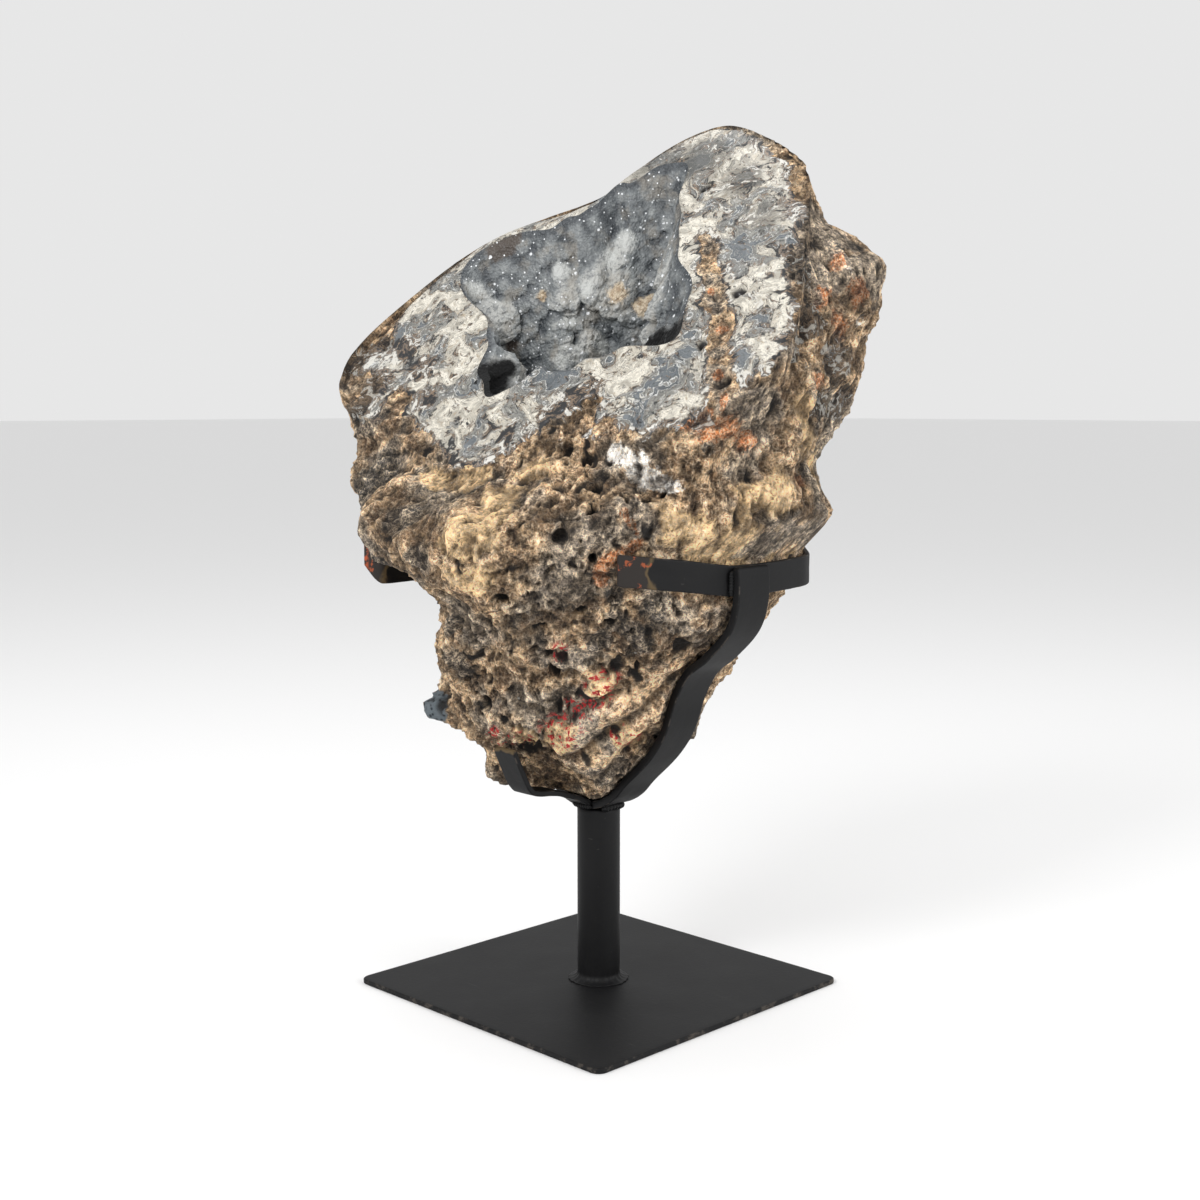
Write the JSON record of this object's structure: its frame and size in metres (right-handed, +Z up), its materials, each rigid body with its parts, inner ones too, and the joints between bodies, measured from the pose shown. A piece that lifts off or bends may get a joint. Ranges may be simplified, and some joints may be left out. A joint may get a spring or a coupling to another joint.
{
  "type": "polished agate geode on a steel stand",
  "caption": "Rough agate geode with a cut and polished slanting rim and a druse-lined hollow, in a welded black steel cradle stand.",
  "frame": {"origin": "centre of the base plate's underside", "axes": "+Z up, X along the cradle bar towards its front arm, -Y towards the toe strap; the display side is seen from between +X and -Y"},
  "size_m": [0.2951, 0.2711, 0.5105],
  "materials": {
    "stone": "rough porous matrix, polished cream and grey agate on the slanting face",
    "druse": "sparkling crystal crust",
    "steel": "matt black paint, worn at ends and edges"
  },
  "bodies": {
    "root": {"stone": "stone", "druse_crust": "druse", "base_plate": "steel", "post": "steel", "cradle_bar": "steel", "front_strap": "steel", "rear_strap": "steel", "toe_strap": "steel"}
  },
  "joints": []
}
